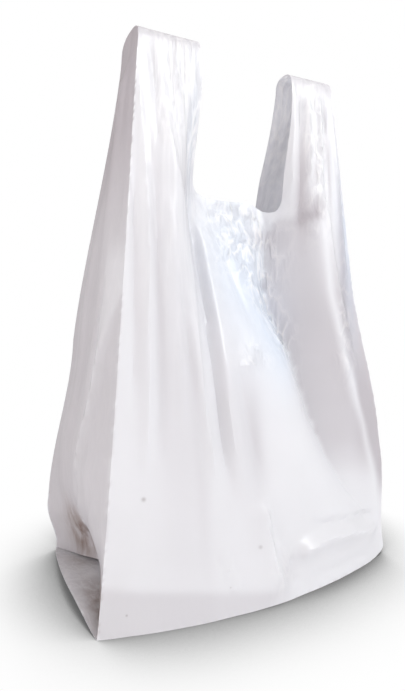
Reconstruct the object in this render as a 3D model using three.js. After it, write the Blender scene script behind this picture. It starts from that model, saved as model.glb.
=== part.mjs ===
// A white plastic vest carrier bag, opened out and standing on its folded base.
// One blown tube of film with a gusset down each side is welded across the foot and
// across each handle, and the notch between the handles is punched out of it.
// Millimetres, +Z up, +X to the right, -Y to the front. The origin is under the middle of the base.
import * as THREE from "three";
import { mergeVertices } from "three/addons/utils/BufferGeometryUtils.js";

// Sizes of the bag as it is made
const PANEL_WIDTH = 280; // front or back panel, from fold to fold
const GUSSET_HALF = 75; // from a panel's fold to the crease in the middle of the side
const FILM = 0.6; // drawn wall: the real film is about 0.02 mm
const WELD_WIDTH = 6; // welded band along the seam of the foot and over each handle
const WELD_EXTRA = 0.6; // the welded layers make the wall this much thicker, inwards
const THINNEST = 0.3; // share of the wall that is left where several layers of film meet
const THIN_REACH = 30;

// Sizes of the bag as it stands
const HEIGHT = 453; // top of the left handle
const RIGHT_DROP = 9; // the right handle stands this much lower
const NOTCH_DEPTH = 121; // from the left handle's top down to the front lip
const LIP_DIP = 1; // the lip hangs this much lower in its middle
const LIP_DROOP = 12; // and its right-hand corner this much
const BACK_LIP_DROP = 6; // the back panel slopes more, so its lip comes lower
const LIP_FADE = 30; // the lip's shape has run out this far above and below it
const TOP_LEAN = 37; // the front folds come back by this much on their way up
const GRIP_RADIUS = 12; // each handle's top is turned over within this height
const SQUARENESS = 2.6; // the turn's roundness: 2 is an ellipse, and more is squarer
const NOTCH_RADIUS = 12;
// Each handle, measured out from the middle: outer fold and cut edge at its top, and cut edge at the
// lip. Its two faces are 2 * depth apart at the top, and begin to come together at closeFrom
const LEFT_GRIP = { height: HEIGHT, outer: 90, inner: 39, notch: 34, depth: 20, closeFrom: 205 };
const RIGHT_GRIP = {
  height: HEIGHT - RIGHT_DROP, outer: 95, inner: 51, notch: 49, depth: 12, closeFrom: 190,
};
const FOOT_BOW = 22; // the foot's front and back edges bow outwards
const END_BOW = 4; // and so do its two ends
const END_CURL = 14; // the base film curls up this far at its two ends
const END_CURL_WIDTH = 28;
const FOOT_LIFT = { frontLeft: 0, frontRight: 8, backLeft: 2, backRight: 3 }; // its corners stand clear
const FOOT_HEIGHT = 60; // the foot's own shape has run out at this height

// How the sides fold
const TUCK_FROM = 170;
const TUCK_TO = 350;
const TUCK_SHARE = { left: 0, right: 0.92 }; // where the gusset is closed, its crease lies this far across
const TUCK_END = 44; // the tuck runs out over this height under the handle's top
const POCKET_DEPTH = 25; // the crease turns in again just above the foot
const POCKET_TOP = 85;
const POCKET_SILL = 18; // height of the crease at the pocket's mouth
const POCKET_INNER = 7; // height of the pocket's inner tip, on the foot's weld
const SIDE_BULGE = { left: 8, right: 0 }; // a gusset that isn't tucked in bulges out by this much
const SIDE_FORWARD = { left: 0.4, right: 0 }; // and its crease comes forward by this share of the depth
const SIDE_SWELL = 3; // each half of a gusset bows out by this much between its folds
// The side folds swell outwards low down: by this much, most of all at peak, and up to top
const BELLY = {
  frontLeft: { swell: 0, peak: 60, top: 200 },
  frontRight: { swell: 13, peak: 130, top: 262 },
  backLeft: { swell: 13, peak: 62, top: 195 },
  backRight: { swell: 10, peak: 90, top: 230 },
};

// How the panels fold. The slack between the handles hangs in by sag, and the film stands out by
// crest over each handle's foot. slackFoot is where the slack's edges run out to at the foot, as
// shares of the half width. The front's right-hand edge follows FRONT_VALLEY instead
const FRONT = { sag: 34, crest: 6, pleat: 2.4, phase: 0.4, slackFoot: { left: 0.12 } };
const BACK = { sag: 9, crest: 6, pleat: 2.2, phase: 2.1, slackFoot: { left: 0.4, right: 0.55 } };
const SAG_FROM = 0.5; // share of the lip's height where the slack begins to hang in
const SLACK_CORE = 0.3; // the sag is full to this share of the half width
const SLACK_REACH = 0.66; // and has run out at this one
const CREST_AT = 0.74;
const CREST_SPREAD = 0.2;
const RIGHT_CREST = 5; // on the front the right-hand crest is this high
const RIGHT_CREST_SPREAD = 14;
const BACK_GROOVE = 7; // depth of the groove down the back, along the slack's right-hand edge
const BACK_GROOVE_SPREAD = 0.13;
// The front is dented between a valley, where the slack turns, and the crest to the right of it.
// Points of both lines and of the dent's depth, lowest first. The heights are shares of the lip's
// height, the places are shares of the panel's half width at the foot, and the depths millimetres
const FRONT_VALLEY = [
  [0, 0.8], [0.14, 0.8], [0.235, 0.64], [0.32, 0.54], [0.43, 0.46], [0.58, 0.37], [0.65, 0.29],
  [0.71, 0.245], [0.77, 0.235], [0.86, 0.26], [0.94, 0.295], [1, (2 * RIGHT_GRIP.notch) / PANEL_WIDTH],
];
const FRONT_CREST = [
  [0, 0.97], [0.217, 0.935], [0.37, 0.843], [0.48, 0.757],
  [0.61, 0.67], [0.76, 0.585], [0.92, 0.557], [1.2, 0.57],
];
const DENT_DEPTH = [
  [0.06, 0], [0.14, 6], [0.285, 18], [0.45, 26], [0.615, 28], [0.75, 20], [0.9, 6], [1, 0],
];
const DENT_LEFT = 42; // the dent's left flank is this wide
const WELD_SPLIT = 0.4; // on the foot's weld the slack's edges come in to this share
const PLEATS = 3; // gathers in each handle
const PLEAT_START = 24; // they begin this far under the handle's top
const PLEAT_RISE = 28; // and are full this far below that

// Mesh steps
const HANDLE_STEPS = 12;
const SLACK_STEPS = 10;
const BASE_STEPS = 4; // also across each half of a gusset
const WALL_STEPS = 15;
const GRIP_STEPS = 6;
const TURN_STEPS = 4;

const { lerp, smoothstep, clamp } = THREE.MathUtils;
const vec = (x, y, z) => new THREE.Vector3(x, y, z);

const LIP_HEIGHT = HEIGHT - NOTCH_DEPTH;
const gripOf = (side) => (side < 0 ? LEFT_GRIP : RIGHT_GRIP);
const TURN_AT = Math.min(LEFT_GRIP.height, RIGHT_GRIP.height) - GRIP_RADIUS;

// Which of the four corners: face -1 is the front and 1 the back, side -1 the left and 1 the right
function corner(face, side) {
  if (face < 0) return side < 0 ? "frontLeft" : "frontRight";
  return side < 0 ? "backLeft" : "backRight";
}

const atFoot = (z) => 1 - smoothstep(z, 0, FOOT_HEIGHT);
const underGrip = (z) => 1 - smoothstep(z, LIP_HEIGHT, TURN_AT);
const ofSide = (values, side) => (side < 0 ? values.left : values.right);

// Second value of a list of points, read smoothly at a first value of v
function alongPoints(points, v) {
  if (v <= points[0][0]) return points[0][1];
  const next = points.findIndex(([at]) => v <= at);
  if (next < 0) return points[points.length - 1][1];
  const [from, low] = points[next - 1];
  const [to, high] = points[next];
  const t = (v - from) / (to - from);
  return lerp(low, high, lerp(t, smoothstep(t, 0, 1), 0.4));
}

// Half the depth between the front and back of one handle's side, before its top turns over
function sideDepth(side, z) {
  const grip = gripOf(side);
  const even = clamp((z - grip.closeFrom) / (TURN_AT - grip.closeFrom), 0, 1);
  return lerp(GUSSET_HALF, grip.depth, (smoothstep(z, grip.closeFrom, TURN_AT) + even) / 2);
}

// The same at share q of the half width, where one side's depth passes into the other's
function openDepth(q, z) {
  return lerp(sideDepth(-1, z), sideDepth(1, z), smoothstep(q, -SLACK_CORE, SLACK_CORE));
}

// How much of that depth is left where the top of a handle turns over
function turned(side, z) {
  const over = side === 0 ? 0 : z - (gripOf(side).height - GRIP_RADIUS);
  return over > 0 ? Math.max(0, 1 - (over / GRIP_RADIUS) ** SQUARENESS) ** (1 / SQUARENESS) : 1;
}

// The bag's middle plane leans back, and comes forward again as the depth closes
function middleY(q, z) {
  return openDepth(q, z) - GUSSET_HALF + (TOP_LEAN * z) / (TURN_AT + GRIP_RADIUS);
}

// How far the end of the base has curled at share q of the half width
function curl(q) {
  const into = clamp((Math.abs(q) * PANEL_WIDTH) / 2 - PANEL_WIDTH / 2 + END_CURL_WIDTH, 0, END_CURL_WIDTH);
  return 1 - Math.sqrt(1 - (into / END_CURL_WIDTH) ** 2);
}

// Where a panel meets a gusset
function foldX(face, side, z) {
  const grip = gripOf(side);
  const taper = lerp(PANEL_WIDTH / 2, grip.outer, Math.min(1, z / grip.height) ** 0.9);
  const belly = BELLY[corner(face, side)];
  const swelling = smoothstep(z, 0, 0.75 * belly.peak) * (1 - smoothstep(z, belly.peak, belly.top));
  return taper + belly.swell * swelling;
}

function fold(face, side, z) {
  const out = openDepth(side, z) * turned(side, z);
  return vec(side * foldX(face, side, z), middleY(side, z) + face * out, z);
}

// The crease down the middle of a side
function crease(side, z) {
  const grip = gripOf(side);
  const under = grip.height - GRIP_RADIUS;
  const below = 1 - smoothstep(z, under - TUCK_END, under);
  const closed = smoothstep(z, TUCK_FROM, TUCK_TO) * below;
  const tuck = ofSide(TUCK_SHARE, side) * (grip.outer - grip.inner) * closed;
  const pocket = POCKET_DEPTH * (1 - smoothstep(z, POCKET_SILL, POCKET_TOP));
  const bulge = ofSide(SIDE_BULGE, side) * smoothstep(z, FOOT_HEIGHT, 2 * FOOT_HEIGHT) * below;
  const forward = ofSide(SIDE_FORWARD, side) * smoothstep(z, 2 * FOOT_HEIGHT, grip.closeFrom + FOOT_HEIGHT);
  const out = (foldX(-1, side, z) + foldX(1, side, z)) / 2 - tuck - pocket + bulge;
  return vec(side * out, middleY(side, z) - forward * openDepth(side, z) * turned(side, z), z);
}

const bump = (distance, spread) => Math.exp(-((distance / spread) ** 2));

// How far the front stands out over the dent beside the slack: less than nothing in the dent
function frontDent(q, z) {
  const x = q * foldX(-1, q, z);
  const up = z / LIP_HEIGHT;
  const valley = (alongPoints(FRONT_VALLEY, up) * PANEL_WIDTH) / 2;
  const crest = (alongPoints(FRONT_CREST, up) * PANEL_WIDTH) / 2;
  const rightFlank = 1 - clamp((x - valley) / (crest - valley), 0, 1) ** 1.3;
  const leftFlank = clamp(1 - (valley - x) / DENT_LEFT, 0, 1) ** 1.5;
  const leftCrest = FRONT.crest * bump(q + CREST_AT, CREST_SPREAD);
  const rightCrest = RIGHT_CREST * bump(x - crest, RIGHT_CREST_SPREAD);
  const dent = alongPoints(DENT_DEPTH, up) * (x > valley ? rightFlank : leftFlank);
  return (leftCrest + rightCrest) * cresting(z) - dent;
}

// How far the back stands out at its two crests, and falls in at its groove
function backFolds(q, z) {
  const crests = bump(q - CREST_AT, CREST_SPREAD) + bump(q + CREST_AT, CREST_SPREAD);
  const upright = (1 - atFoot(z)) * (1 - smoothstep(z, 0.8 * LIP_HEIGHT, LIP_HEIGHT));
  const groove = BACK_GROOVE * upright * bump(q - slackEdge(1, 1, z), BACK_GROOVE_SPREAD);
  return BACK.crest * crests * cresting(z) - groove;
}

// The crests grow above the foot and run out under the handles' tops
function cresting(z) {
  return smoothstep(z, FOOT_HEIGHT, 0.8 * LIP_HEIGHT) * underGrip(z);
}

// How far a panel stands out at share q of its half width
function relief(face, q, z) {
  const kind = face < 0 ? FRONT : BACK;
  const bow = FOOT_BOW * (1 - q * q) * (1 - clamp(z / LIP_HEIGHT, 0, 1));
  const slackness = smoothstep(z, SAG_FROM * LIP_HEIGHT, LIP_HEIGHT) * underGrip(z);
  const sag = kind.sag * slackness * (1 - smoothstep(Math.abs(q), SLACK_CORE, SLACK_REACH));
  const folds = face < 0 ? frontDent(q, z) : backFolds(q, z);
  return bow - sag + folds * (1 - q ** 6);
}

// Edge of the slack, which is the handle's cut edge above the lip, as a share of the half width
function slackEdge(face, side, z) {
  const grip = gripOf(side);
  if (z >= LIP_HEIGHT) {
    const up = clamp((z - LIP_HEIGHT) / (grip.height - LIP_HEIGHT), 0, 1);
    return (side * (lerp(grip.notch, grip.inner, up) - cornerCut(z - LIP_HEIGHT))) / foldX(face, side, z);
  }
  if (face < 0 && side > 0) {
    const valley = (alongPoints(FRONT_VALLEY, z / LIP_HEIGHT) * PANEL_WIDTH) / 2;
    return valley / foldX(face, side, z);
  }
  const foot = ofSide((face < 0 ? FRONT : BACK).slackFoot, side);
  const atLip = grip.notch / foldX(face, side, LIP_HEIGHT);
  return side * lerp(foot, atLip, smoothstep(z, -0.25 * LIP_HEIGHT, 0.8 * LIP_HEIGHT));
}

// The notch's corners are rounded: this much is left in them at distance d along either edge
function cornerCut(d) {
  return 0.3 * NOTCH_RADIUS * Math.max(0, 1 - Math.abs(d) / NOTCH_RADIUS) ** 2;
}

function share(side, across, slackLeft, slackRight) {
  if (side === 0) return lerp(slackLeft, slackRight, across);
  return lerp(side, side < 0 ? slackLeft : slackRight, across ** 1.2);
}

// How far the gathers under a handle stand out
function pleats(face, side, across, z) {
  const kind = face < 0 ? FRONT : BACK;
  const start = TURN_AT - PLEAT_START;
  const gathered = smoothstep(z, FOOT_HEIGHT, LIP_HEIGHT) * (1 - smoothstep(z, start, start + PLEAT_RISE));
  const wave = Math.sin(2 * Math.PI * PLEATS * across + kind.phase + side);
  const inside = smoothstep(across, 0, 0.3) * smoothstep(1 - across, 0, 0.2);
  return kind.pleat * (side === 0 ? 0.5 : 1) * gathered * wave * inside;
}

// A point of a panel. across runs from 0 at the outer fold to 1 at the slack's edge on a handle's
// side of the panel, and from the slack's left edge to its right one where side is 0
function panelPoint(face, side, across, z) {
  const q = share(side, across, slackEdge(face, -1, z), slackEdge(face, 1, z));
  const out = (openDepth(q, z) + relief(face, q, z) + pleats(face, side, across, z)) * turned(side, z);
  return vec(q * foldX(face, q, z), middleY(q, z) + face * out, panelHeight(face, q, z));
}

// The panel's rows are level, apart from the lifted corners of the foot and the shaped lip
function panelHeight(face, q, z) {
  const size = Math.abs(q);
  const lift = FOOT_LIFT[corner(face, q)] * curl(q) * atFoot(z);
  const atLip = 1 - smoothstep(Math.abs(z - LIP_HEIGHT), 0, LIP_FADE);
  const past = (size - Math.abs(slackEdge(face, Math.sign(q), LIP_HEIGHT))) * foldX(face, q, LIP_HEIGHT);
  const dip = LIP_DIP * (1 - smoothstep(size, 0, 0.4));
  const droop = q > 0 ? LIP_DROOP * smoothstep(q, 0.2, 0.46) : 0;
  const drop = ((face > 0 ? BACK_LIP_DROP : 0) + droop) * (1 - smoothstep(size, 0.5, 0.9));
  return z + FILM / 2 + lift + atLip * (cornerCut(past) - dip - drop);
}

// A point of a gusset half, from 0 at the panel's fold to 1 at the crease
function gussetPoint(face, side, across, z) {
  const edge = fold(face, side, z);
  edge.z = panelHeight(face, side, z);
  const middle = crease(side, z);
  middle.z = z + FILM / 2 + POCKET_SILL * atFoot(z);
  const below = 1 - smoothstep(z, 0.75 * LIP_HEIGHT, LIP_HEIGHT);
  const body = smoothstep(z, FOOT_HEIGHT, 2 * FOOT_HEIGHT) * below;
  const point = edge.lerp(middle, across);
  point.x += side * SIDE_SWELL * Math.sin(Math.PI * across) * body;
  return point;
}

// The foot's outline at one end: 0 at the weld and 1 at the corner
function footEnd(face, side, along) {
  const lift = FOOT_LIFT[corner(face, side)];
  const rise = lift + (END_CURL - lift) * (1 - along ** 3) ** 1.5;
  const at = fold(face, side, 0);
  return vec(at.x + side * END_BOW * (1 - along ** 2), at.y * along, FILM / 2 + rise);
}

// A point of the base, which the panels fold under to make: along is 0 at the weld and 1 at the
// foot's edge
function basePoint(face, side, across, along) {
  const edge = panelPoint(face, side, across, 0);
  const atWeld = share(side, across, -WELD_SPLIT, WELD_SPLIT);
  const q = lerp(atWeld, edge.x / (PANEL_WIDTH / 2), along);
  const end = footEnd(face, q < 0 ? -1 : 1, along);
  return vec(q * Math.abs(end.x), edge.y * along, FILM / 2 + (end.z - FILM / 2) * curl(q));
}

function pocketTip(side) {
  return vec(footEnd(1, side, 0).x - side * GUSSET_HALF, 0, FILM / 2 + POCKET_INNER);
}

// The corner of a gusset half under the wall is a square folded on its diagonal, as on a wrapped
// parcel. across is 0 at the panel's fold and 1 at the crease, along is 0 at the weld and 1 at the wall
function pocketPoint(face, side, across, along) {
  const foot = footEnd(face, side, 1);
  const end = footEnd(face, side, 0);
  const tip = pocketTip(side);
  const sill = gussetPoint(face, side, 1, 0);
  if (along > 1 - across + 1e-6) {
    const point = sill.clone().addScaledVector(foot.clone().sub(sill), 1 - across);
    return point.addScaledVector(tip.clone().sub(sill), 1 - along);
  }
  const flat = end.clone().addScaledVector(tip.clone().sub(end), across);
  flat.addScaledVector(foot.clone().sub(end), along);
  const straight = end.clone().lerp(foot, along);
  const curve = footEnd(face, side, along).sub(straight);
  return flat.addScaledVector(curve, along < 1 ? 1 - across / (1 - along) : 0);
}

const steps = (count) => Array.from({ length: count + 1 }, (_, i) => i / count);

// Heights of the rows up the wall, and on up a handle to the line where its two faces meet
const wallRows = steps(WALL_STEPS).map((t) => LIP_HEIGHT * t ** 1.1);

function handleRows(side) {
  const top = gripOf(side).height;
  const notch = [LIP_HEIGHT + 0.35 * NOTCH_RADIUS];
  const straight = steps(GRIP_STEPS).map((t) => lerp(LIP_HEIGHT + NOTCH_RADIUS, top - GRIP_RADIUS, t));
  const over = steps(TURN_STEPS).slice(1).map((t) => top - GRIP_RADIUS * (1 - Math.sin((t * Math.PI) / 2)));
  return [...wallRows, ...notch, ...straight, ...over];
}

// Rows of the base, from the weld to the foot's edge. The gussets' columns are the same steps from
// crease to fold, so that a square of film can be folded on its diagonal
const baseRows = [0, ...steps(BASE_STEPS).map((t) => lerp(WELD_WIDTH / 2 / GUSSET_HALF, 1, t))];
const gussetColumns = baseRows.map((t) => 1 - t).reverse();

// Adds one patch of film as triangles. flip turns its faces over, and slant picks the quads' diagonal
function addPatch(points, columns, rows, place, flip, slant = false) {
  const grid = rows.map((row) => columns.map((column) => place(column, row)));
  for (let r = 0; r + 1 < rows.length; r++) {
    for (let c = 0; c + 1 < columns.length; c++) {
      const [a, b, d, e] = [grid[r][c], grid[r][c + 1], grid[r + 1][c + 1], grid[r + 1][c]];
      const triangles = slant ? [[a, b, e], [b, d, e]] : [[a, b, d], [a, d, e]];
      for (const [p, q, s] of triangles) points.push(...(flip ? [p, s, q] : [p, q, s]));
    }
  }
}

// The whole bag as one sheet with no thickness, facing out
function sheet() {
  const points = [];
  const slack = steps(SLACK_STEPS);
  const handle = steps(HANDLE_STEPS);
  for (const face of [-1, 1]) {
    for (const side of [-1, 1]) {
      const flip = face * side < 0;
      const up = handleRows(side);
      addPatch(points, gussetColumns, up, (a, z) => gussetPoint(face, side, a, z), !flip, !flip);
      addPatch(points, handle, up, (a, z) => panelPoint(face, side, a, z), flip);
      addPatch(points, handle, baseRows, (a, t) => basePoint(face, side, a, t), flip, true);
      addPatch(points, gussetColumns, baseRows, (a, t) => pocketPoint(face, side, a, t), !flip, true);
    }
    addPatch(points, slack, wallRows, (a, z) => panelPoint(face, 0, a, z), face > 0);
    addPatch(points, slack, baseRows, (a, t) => basePoint(face, 0, a, t), face > 0);
  }
  return mergeVertices(new THREE.BufferGeometry().setFromPoints(points), 1e-2);
}

// The wall is thicker along the foot's weld and over the top of each handle
function extraWall(point) {
  const top = gripOf(point.x).height;
  const onFoot = Math.abs(point.y) < FILM && point.z < FILM;
  return onFoot || point.z > top - WELD_WIDTH / 2 ? WELD_EXTRA : 0;
}

// Share of the wall's thickness at a point: it thins towards the foot's corners, the pockets' tips and
// the handles' top ends, where several layers of film meet
function thinning(point) {
  const meetings = [-1, 1].flatMap((side) => {
    const top = fold(1, side, gripOf(side).height);
    return [pocketTip(side), footEnd(-1, side, 1), footEnd(1, side, 1), top];
  });
  const nearest = Math.min(...meetings.map((meeting) => meeting.distanceTo(point)));
  return clamp(THINNEST + nearest / THIN_REACH, THINNEST, 1);
}

// Gives a sheet a wall: a skin on each side of it, joined by a rim along its open edge
function thicken(geometry, wall) {
  const position = geometry.getAttribute("position");
  const points = Array.from({ length: position.count }, (_, i) => vec().fromBufferAttribute(position, i));
  const triangles = [];
  for (let i = 0; i < geometry.index.count; i += 3) {
    const t = [0, 1, 2].map((k) => geometry.index.getX(i + k));
    if (new Set(t).size === 3) triangles.push(t);
  }
  const normals = points.map(() => vec(0, 0, 0));
  const faces = triangles.map((t) => new THREE.Triangle(...t.map((v) => points[v])).getNormal(vec()));
  triangles.forEach((t, f) => {
    t.forEach((v, k) => {
      const toNext = points[t[(k + 1) % 3]].clone().sub(points[v]);
      const toLast = points[t[(k + 2) % 3]].clone().sub(points[v]);
      normals[v].addScaledVector(faces[f], toNext.angleTo(toLast));
    });
  });
  normals.forEach((n) => n.normalize());
  // On a fold the skins move further along the mean normal, so that the wall keeps its thickness
  const stretch = normals.map(() => 1);
  triangles.forEach((t, f) => {
    for (const v of t) stretch[v] = Math.max(stretch[v], 1 / Math.max(0.6, normals[v].dot(faces[f])));
  });
  const half = points.map((p, i) => (stretch[i] * wall * thinning(p)) / 2);
  const outer = points.map((p, i) => p.clone().addScaledVector(normals[i], half[i]));
  const inner = points.map((p, i) => p.clone().addScaledVector(normals[i], -half[i] - extraWall(p)));
  const count = points.length;
  const index = triangles.flatMap(([a, b, c]) => [a, b, c, a + count, c + count, b + count]);
  const edges = new Map();
  for (const [a, b, c] of triangles) {
    for (const [from, to] of [[a, b], [b, c], [c, a]]) edges.set(`${from}_${to}`, [from, to]);
  }
  for (const [from, to] of edges.values()) {
    if (edges.has(`${to}_${from}`)) continue;
    index.push(to, from, to + count, from, from + count, to + count);
  }
  return new THREE.BufferGeometry().setFromPoints([...outer, ...inner]).setIndex(index);
}

const film = new THREE.MeshStandardMaterial({ color: 0xf1f0f3, roughness: 0.32, metalness: 0 });
const bag = new THREE.Mesh(thicken(sheet(), FILM), film);
bag.name = "bag_film";

const model = new THREE.Group();
model.add(bag);
export default model;
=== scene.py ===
"""A white plastic vest carrier bag, opened out and standing on its folded base.

The film is laid out here as one fine sheet over the same form as the CAD solid, with the
gathers and creases that the real film shows, and then it gets its thin wall. The bag's sizes,
its folds and marks, and the camera's place are millimetres. The lamps and the floor are in metres.
"""
import math
import random
from functools import partial

import bpy
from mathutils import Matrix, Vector, noise


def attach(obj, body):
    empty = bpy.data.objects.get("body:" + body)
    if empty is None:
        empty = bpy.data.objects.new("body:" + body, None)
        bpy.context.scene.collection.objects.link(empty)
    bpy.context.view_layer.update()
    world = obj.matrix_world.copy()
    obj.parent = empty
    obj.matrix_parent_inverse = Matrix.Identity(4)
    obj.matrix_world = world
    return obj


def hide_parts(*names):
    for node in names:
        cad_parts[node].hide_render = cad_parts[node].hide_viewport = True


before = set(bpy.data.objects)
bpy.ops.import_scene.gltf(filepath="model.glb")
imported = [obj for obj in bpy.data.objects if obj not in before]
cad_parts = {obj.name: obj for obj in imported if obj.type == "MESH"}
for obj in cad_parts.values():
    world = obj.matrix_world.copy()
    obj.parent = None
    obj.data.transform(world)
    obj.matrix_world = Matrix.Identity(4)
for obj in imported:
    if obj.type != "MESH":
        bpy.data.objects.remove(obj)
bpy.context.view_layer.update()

MM = 0.001

# The wall of the film. The real one is about 0.02 mm, too thin for the mesh
FILM = 0.15

# Sizes of the bag, as the CAD model has them
PANEL_WIDTH = 280.0  # front or back panel, from fold to fold
GUSSET_HALF = 75.0  # from a panel's fold to the crease in the middle of the side
HEIGHT = 453.0  # top of the left handle
RIGHT_DROP = 9.0  # the right handle stands this much lower
NOTCH_DEPTH = 121.0  # from the left handle's top down to the front lip
LIP_HEIGHT = HEIGHT - NOTCH_DEPTH
LIP_DIP = 1.0  # the lip hangs this much lower in its middle
LIP_DROOP = 12.0  # and its right-hand corner this much
BACK_LIP_DROP = 6.0  # the back panel slopes more, so its lip comes lower
LIP_FADE = 30.0  # the lip's shape has run out this far above and below it
TOP_LEAN = 37.0  # the front folds come back by this much on their way up
NOTCH_RADIUS = 12.0
GRIP_TURN = 12.0  # each handle's top is turned over within this height
SQUARENESS = 2.6  # the turn's roundness: 2 is an ellipse, and more is squarer
# Each handle, measured out from the middle: outer fold and cut edge at its top, and cut edge at the
# lip. Its two faces are 2 * depth apart at the top, and begin to come together at close_from
LEFT_GRIP = {
    "height": HEIGHT, "outer": 90.0, "inner": 39.0, "notch": 34.0, "depth": 20.0, "close_from": 205.0,
}
RIGHT_GRIP = {
    "height": HEIGHT - RIGHT_DROP, "outer": 95.0, "inner": 51.0, "notch": 49.0, "depth": 12.0,
    "close_from": 190.0,
}
TURN_AT = RIGHT_GRIP["height"] - GRIP_TURN
FOOT_BOW = 22.0  # the foot's front and back edges bow outwards
END_BOW = 9.0  # and so do its two ends, a little more than in the solid
END_CURL = 14.0  # the base film curls up this far at its two ends
END_CURL_WIDTH = 28.0
FOOT_HEIGHT = 60.0  # the foot's own shape has run out at this height
WELD_SPLIT = 0.4  # on the foot's weld the slack's edges come in to this share

# How the sides fold. Values that differ between the sides go by -1 for the left and 1 for the right
TUCK_FROM = 170.0
TUCK_TO = 350.0
TUCK_SHARE = {-1: 0.0, 1: 0.92}  # where the gusset is closed, its crease lies this far across
TUCK_END = 44.0  # the tuck runs out over this height under the handle's top
POCKET_DEPTH = 25.0  # the crease turns in again just above the foot
POCKET_TOP = 85.0
POCKET_SILL = 18.0  # height of the crease at the pocket's mouth
POCKET_INNER = 7.0  # height of the pocket's inner tip, on the foot's weld
SIDE_BULGE = {-1: 8.0, 1: 0.0}  # a gusset that isn't tucked in bulges out by this much
SIDE_FORWARD = {-1: 0.4, 1: 0.0}  # and its crease comes forward by this share of the depth
FORWARD_FROM = 120.0  # between these heights
FORWARD_TO = 250.0
SIDE_SWELL = 3.0  # each half of a gusset bows out by this much between its folds
SWELL_FADE = 250.0  # which runs out between these heights
SWELL_END = 330.0
SIDE_RIPPLE = 2.0  # and it is uneven by about this much
RIPPLE_LENGTH = 70.0
RIPPLE_FADE = 380.0  # which runs out between these heights
RIPPLE_END = 430.0

# Values that differ between the four upright folds. A key is (face, side): face -1 is the front
# and 1 the back. The folds swell out low down: by how much, most of all where, and up to where
FOOT_LIFT = {(-1, -1): 0.0, (-1, 1): 8.0, (1, -1): 2.0, (1, 1): 3.0}
BELLY = {
    (-1, -1): (0, 60, 200),
    (-1, 1): (13, 130, 262),
    (1, -1): (13, 62, 195),
    (1, 1): (10, 90, 230),
}
# Where the slack's edges run out to at the foot, as shares of the half width. The front's
# right-hand edge follows FRONT_VALLEY instead
SLACK_FOOT = {(-1, -1): 0.12, (1, -1): 0.4, (1, 1): 0.55}

# How the panels hang
FRONT_SAG = 34.0
BACK_SAG = 9.0
SAG_FROM = 0.5  # share of the lip's height where the slack begins to hang in
SLACK_CORE = 0.3  # the sag is full to this share of the half width
SLACK_REACH = 0.66  # and has run out at this one
CREST = 6.0  # the film stands out by this much over each handle's foot
CREST_AT = 0.74
BACK_CREST_AT = 0.72
CREST_SPREAD = 0.2
CREST_FULL = 0.8  # share of the lip's height where the crests are full
BACK_CREST_FULL = 270.0
RIGHT_CREST = 5.0  # on the front the right-hand crest is this high
RIGHT_CREST_SPREAD = 12.0
BACK_GROOVE = 7.0  # depth of the groove down the back, along the slack's right-hand edge
BACK_GROOVE_SPREAD = 0.13
BACK_GROOVE_END = 70.0  # it runs out over this height under the lip
UNEVEN = 0.5  # the whole film is uneven by about this much
UNEVEN_WIDTH = 26.0
UNEVEN_HEIGHT = 60.0
FOLDS_CLEAR = 0.05  # the folds run out over this share of the half width, by the side folds
UNEVEN_CLEAR = 0.1
GUSSET_FOLDS_FROM = 0.1  # and the gusset's folds between these shares of its half
GUSSET_FOLDS_TO = 0.45

# The valley down the front where the slack meets the right-hand side, and the crest on the far
# side of it, by height and distance from the middle, and how deep the dent between them is
FRONT_VALLEY = [
    (0, 112), (46, 112), (78, 90), (106, 76), (143, 64), (193, 52), (216, 41),
    (236, 34), (256, 33), (286, 37), (312, 42), (332, 49),
]
FRONT_CREST = [
    (0, 136), (72, 131), (122, 118), (160, 106), (202, 94), (252, 82), (305, 78), (332, 80), (396, 80),
]
DENT_DEPTH = [(20, 0), (47, 6), (95, 18), (150, 26), (204, 28), (250, 20), (300, 6), (332, 0)]
DENT_LEFT = 42.0  # the dent's left flank is this wide


def lerp(a, b, t):
    return a + (b - a) * t


def clamp(v, low=0.0, high=1.0):
    return max(low, min(high, v))


def smoothstep(v, low, high):
    t = clamp((v - low) / (high - low))
    return t * t * (3 - 2 * t)


def band(v, start, full, fade, end):
    """1 from full to fade, and 0 below start and above end."""
    return smoothstep(v, start, full) * (1 - smoothstep(v, fade, end))


def bump(distance, spread):
    return math.exp(-((distance / spread) ** 2))


def along_points(points, v):
    """Second value of a list of points, read smoothly at a first value of v."""
    if v <= points[0][0]:
        return points[0][1]
    for (v0, w0), (v1, w1) in zip(points, points[1:]):
        if v <= v1:
            return lerp(w0, w1, smoothstep(v, v0, v1) * 0.4 + 0.6 * (v - v0) / (v1 - v0))
    return points[-1][1]


# The bag's form

def grip_of(side):
    return LEFT_GRIP if side < 0 else RIGHT_GRIP


def close_share(side, z):
    """How far the folds of one side have come together at a height, from 0 to 1."""
    start = grip_of(side)["close_from"]
    return 0.5 * (smoothstep(z, start, TURN_AT) + clamp((z - start) / (TURN_AT - start)))


def open_depth(q, z):
    """Half the depth between the front and back, before a handle's top turns over."""
    left = lerp(GUSSET_HALF, LEFT_GRIP["depth"], close_share(-1, z))
    right = lerp(GUSSET_HALF, RIGHT_GRIP["depth"], close_share(1, z))
    return lerp(left, right, smoothstep(q, -SLACK_CORE, SLACK_CORE))


def turned(side, z):
    """How much of that depth is left where the top of a handle turns over."""
    if side == 0:
        return 1.0
    over = z - (grip_of(side)["height"] - GRIP_TURN)
    return max(0.0, 1 - (over / GRIP_TURN) ** SQUARENESS) ** (1 / SQUARENESS) if over > 0 else 1.0


def middle_y(q, z):
    """The bag's middle plane leans back, and comes forward again as the depth closes."""
    return open_depth(q, z) - GUSSET_HALF + TOP_LEAN * z / (TURN_AT + GRIP_TURN)


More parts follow.
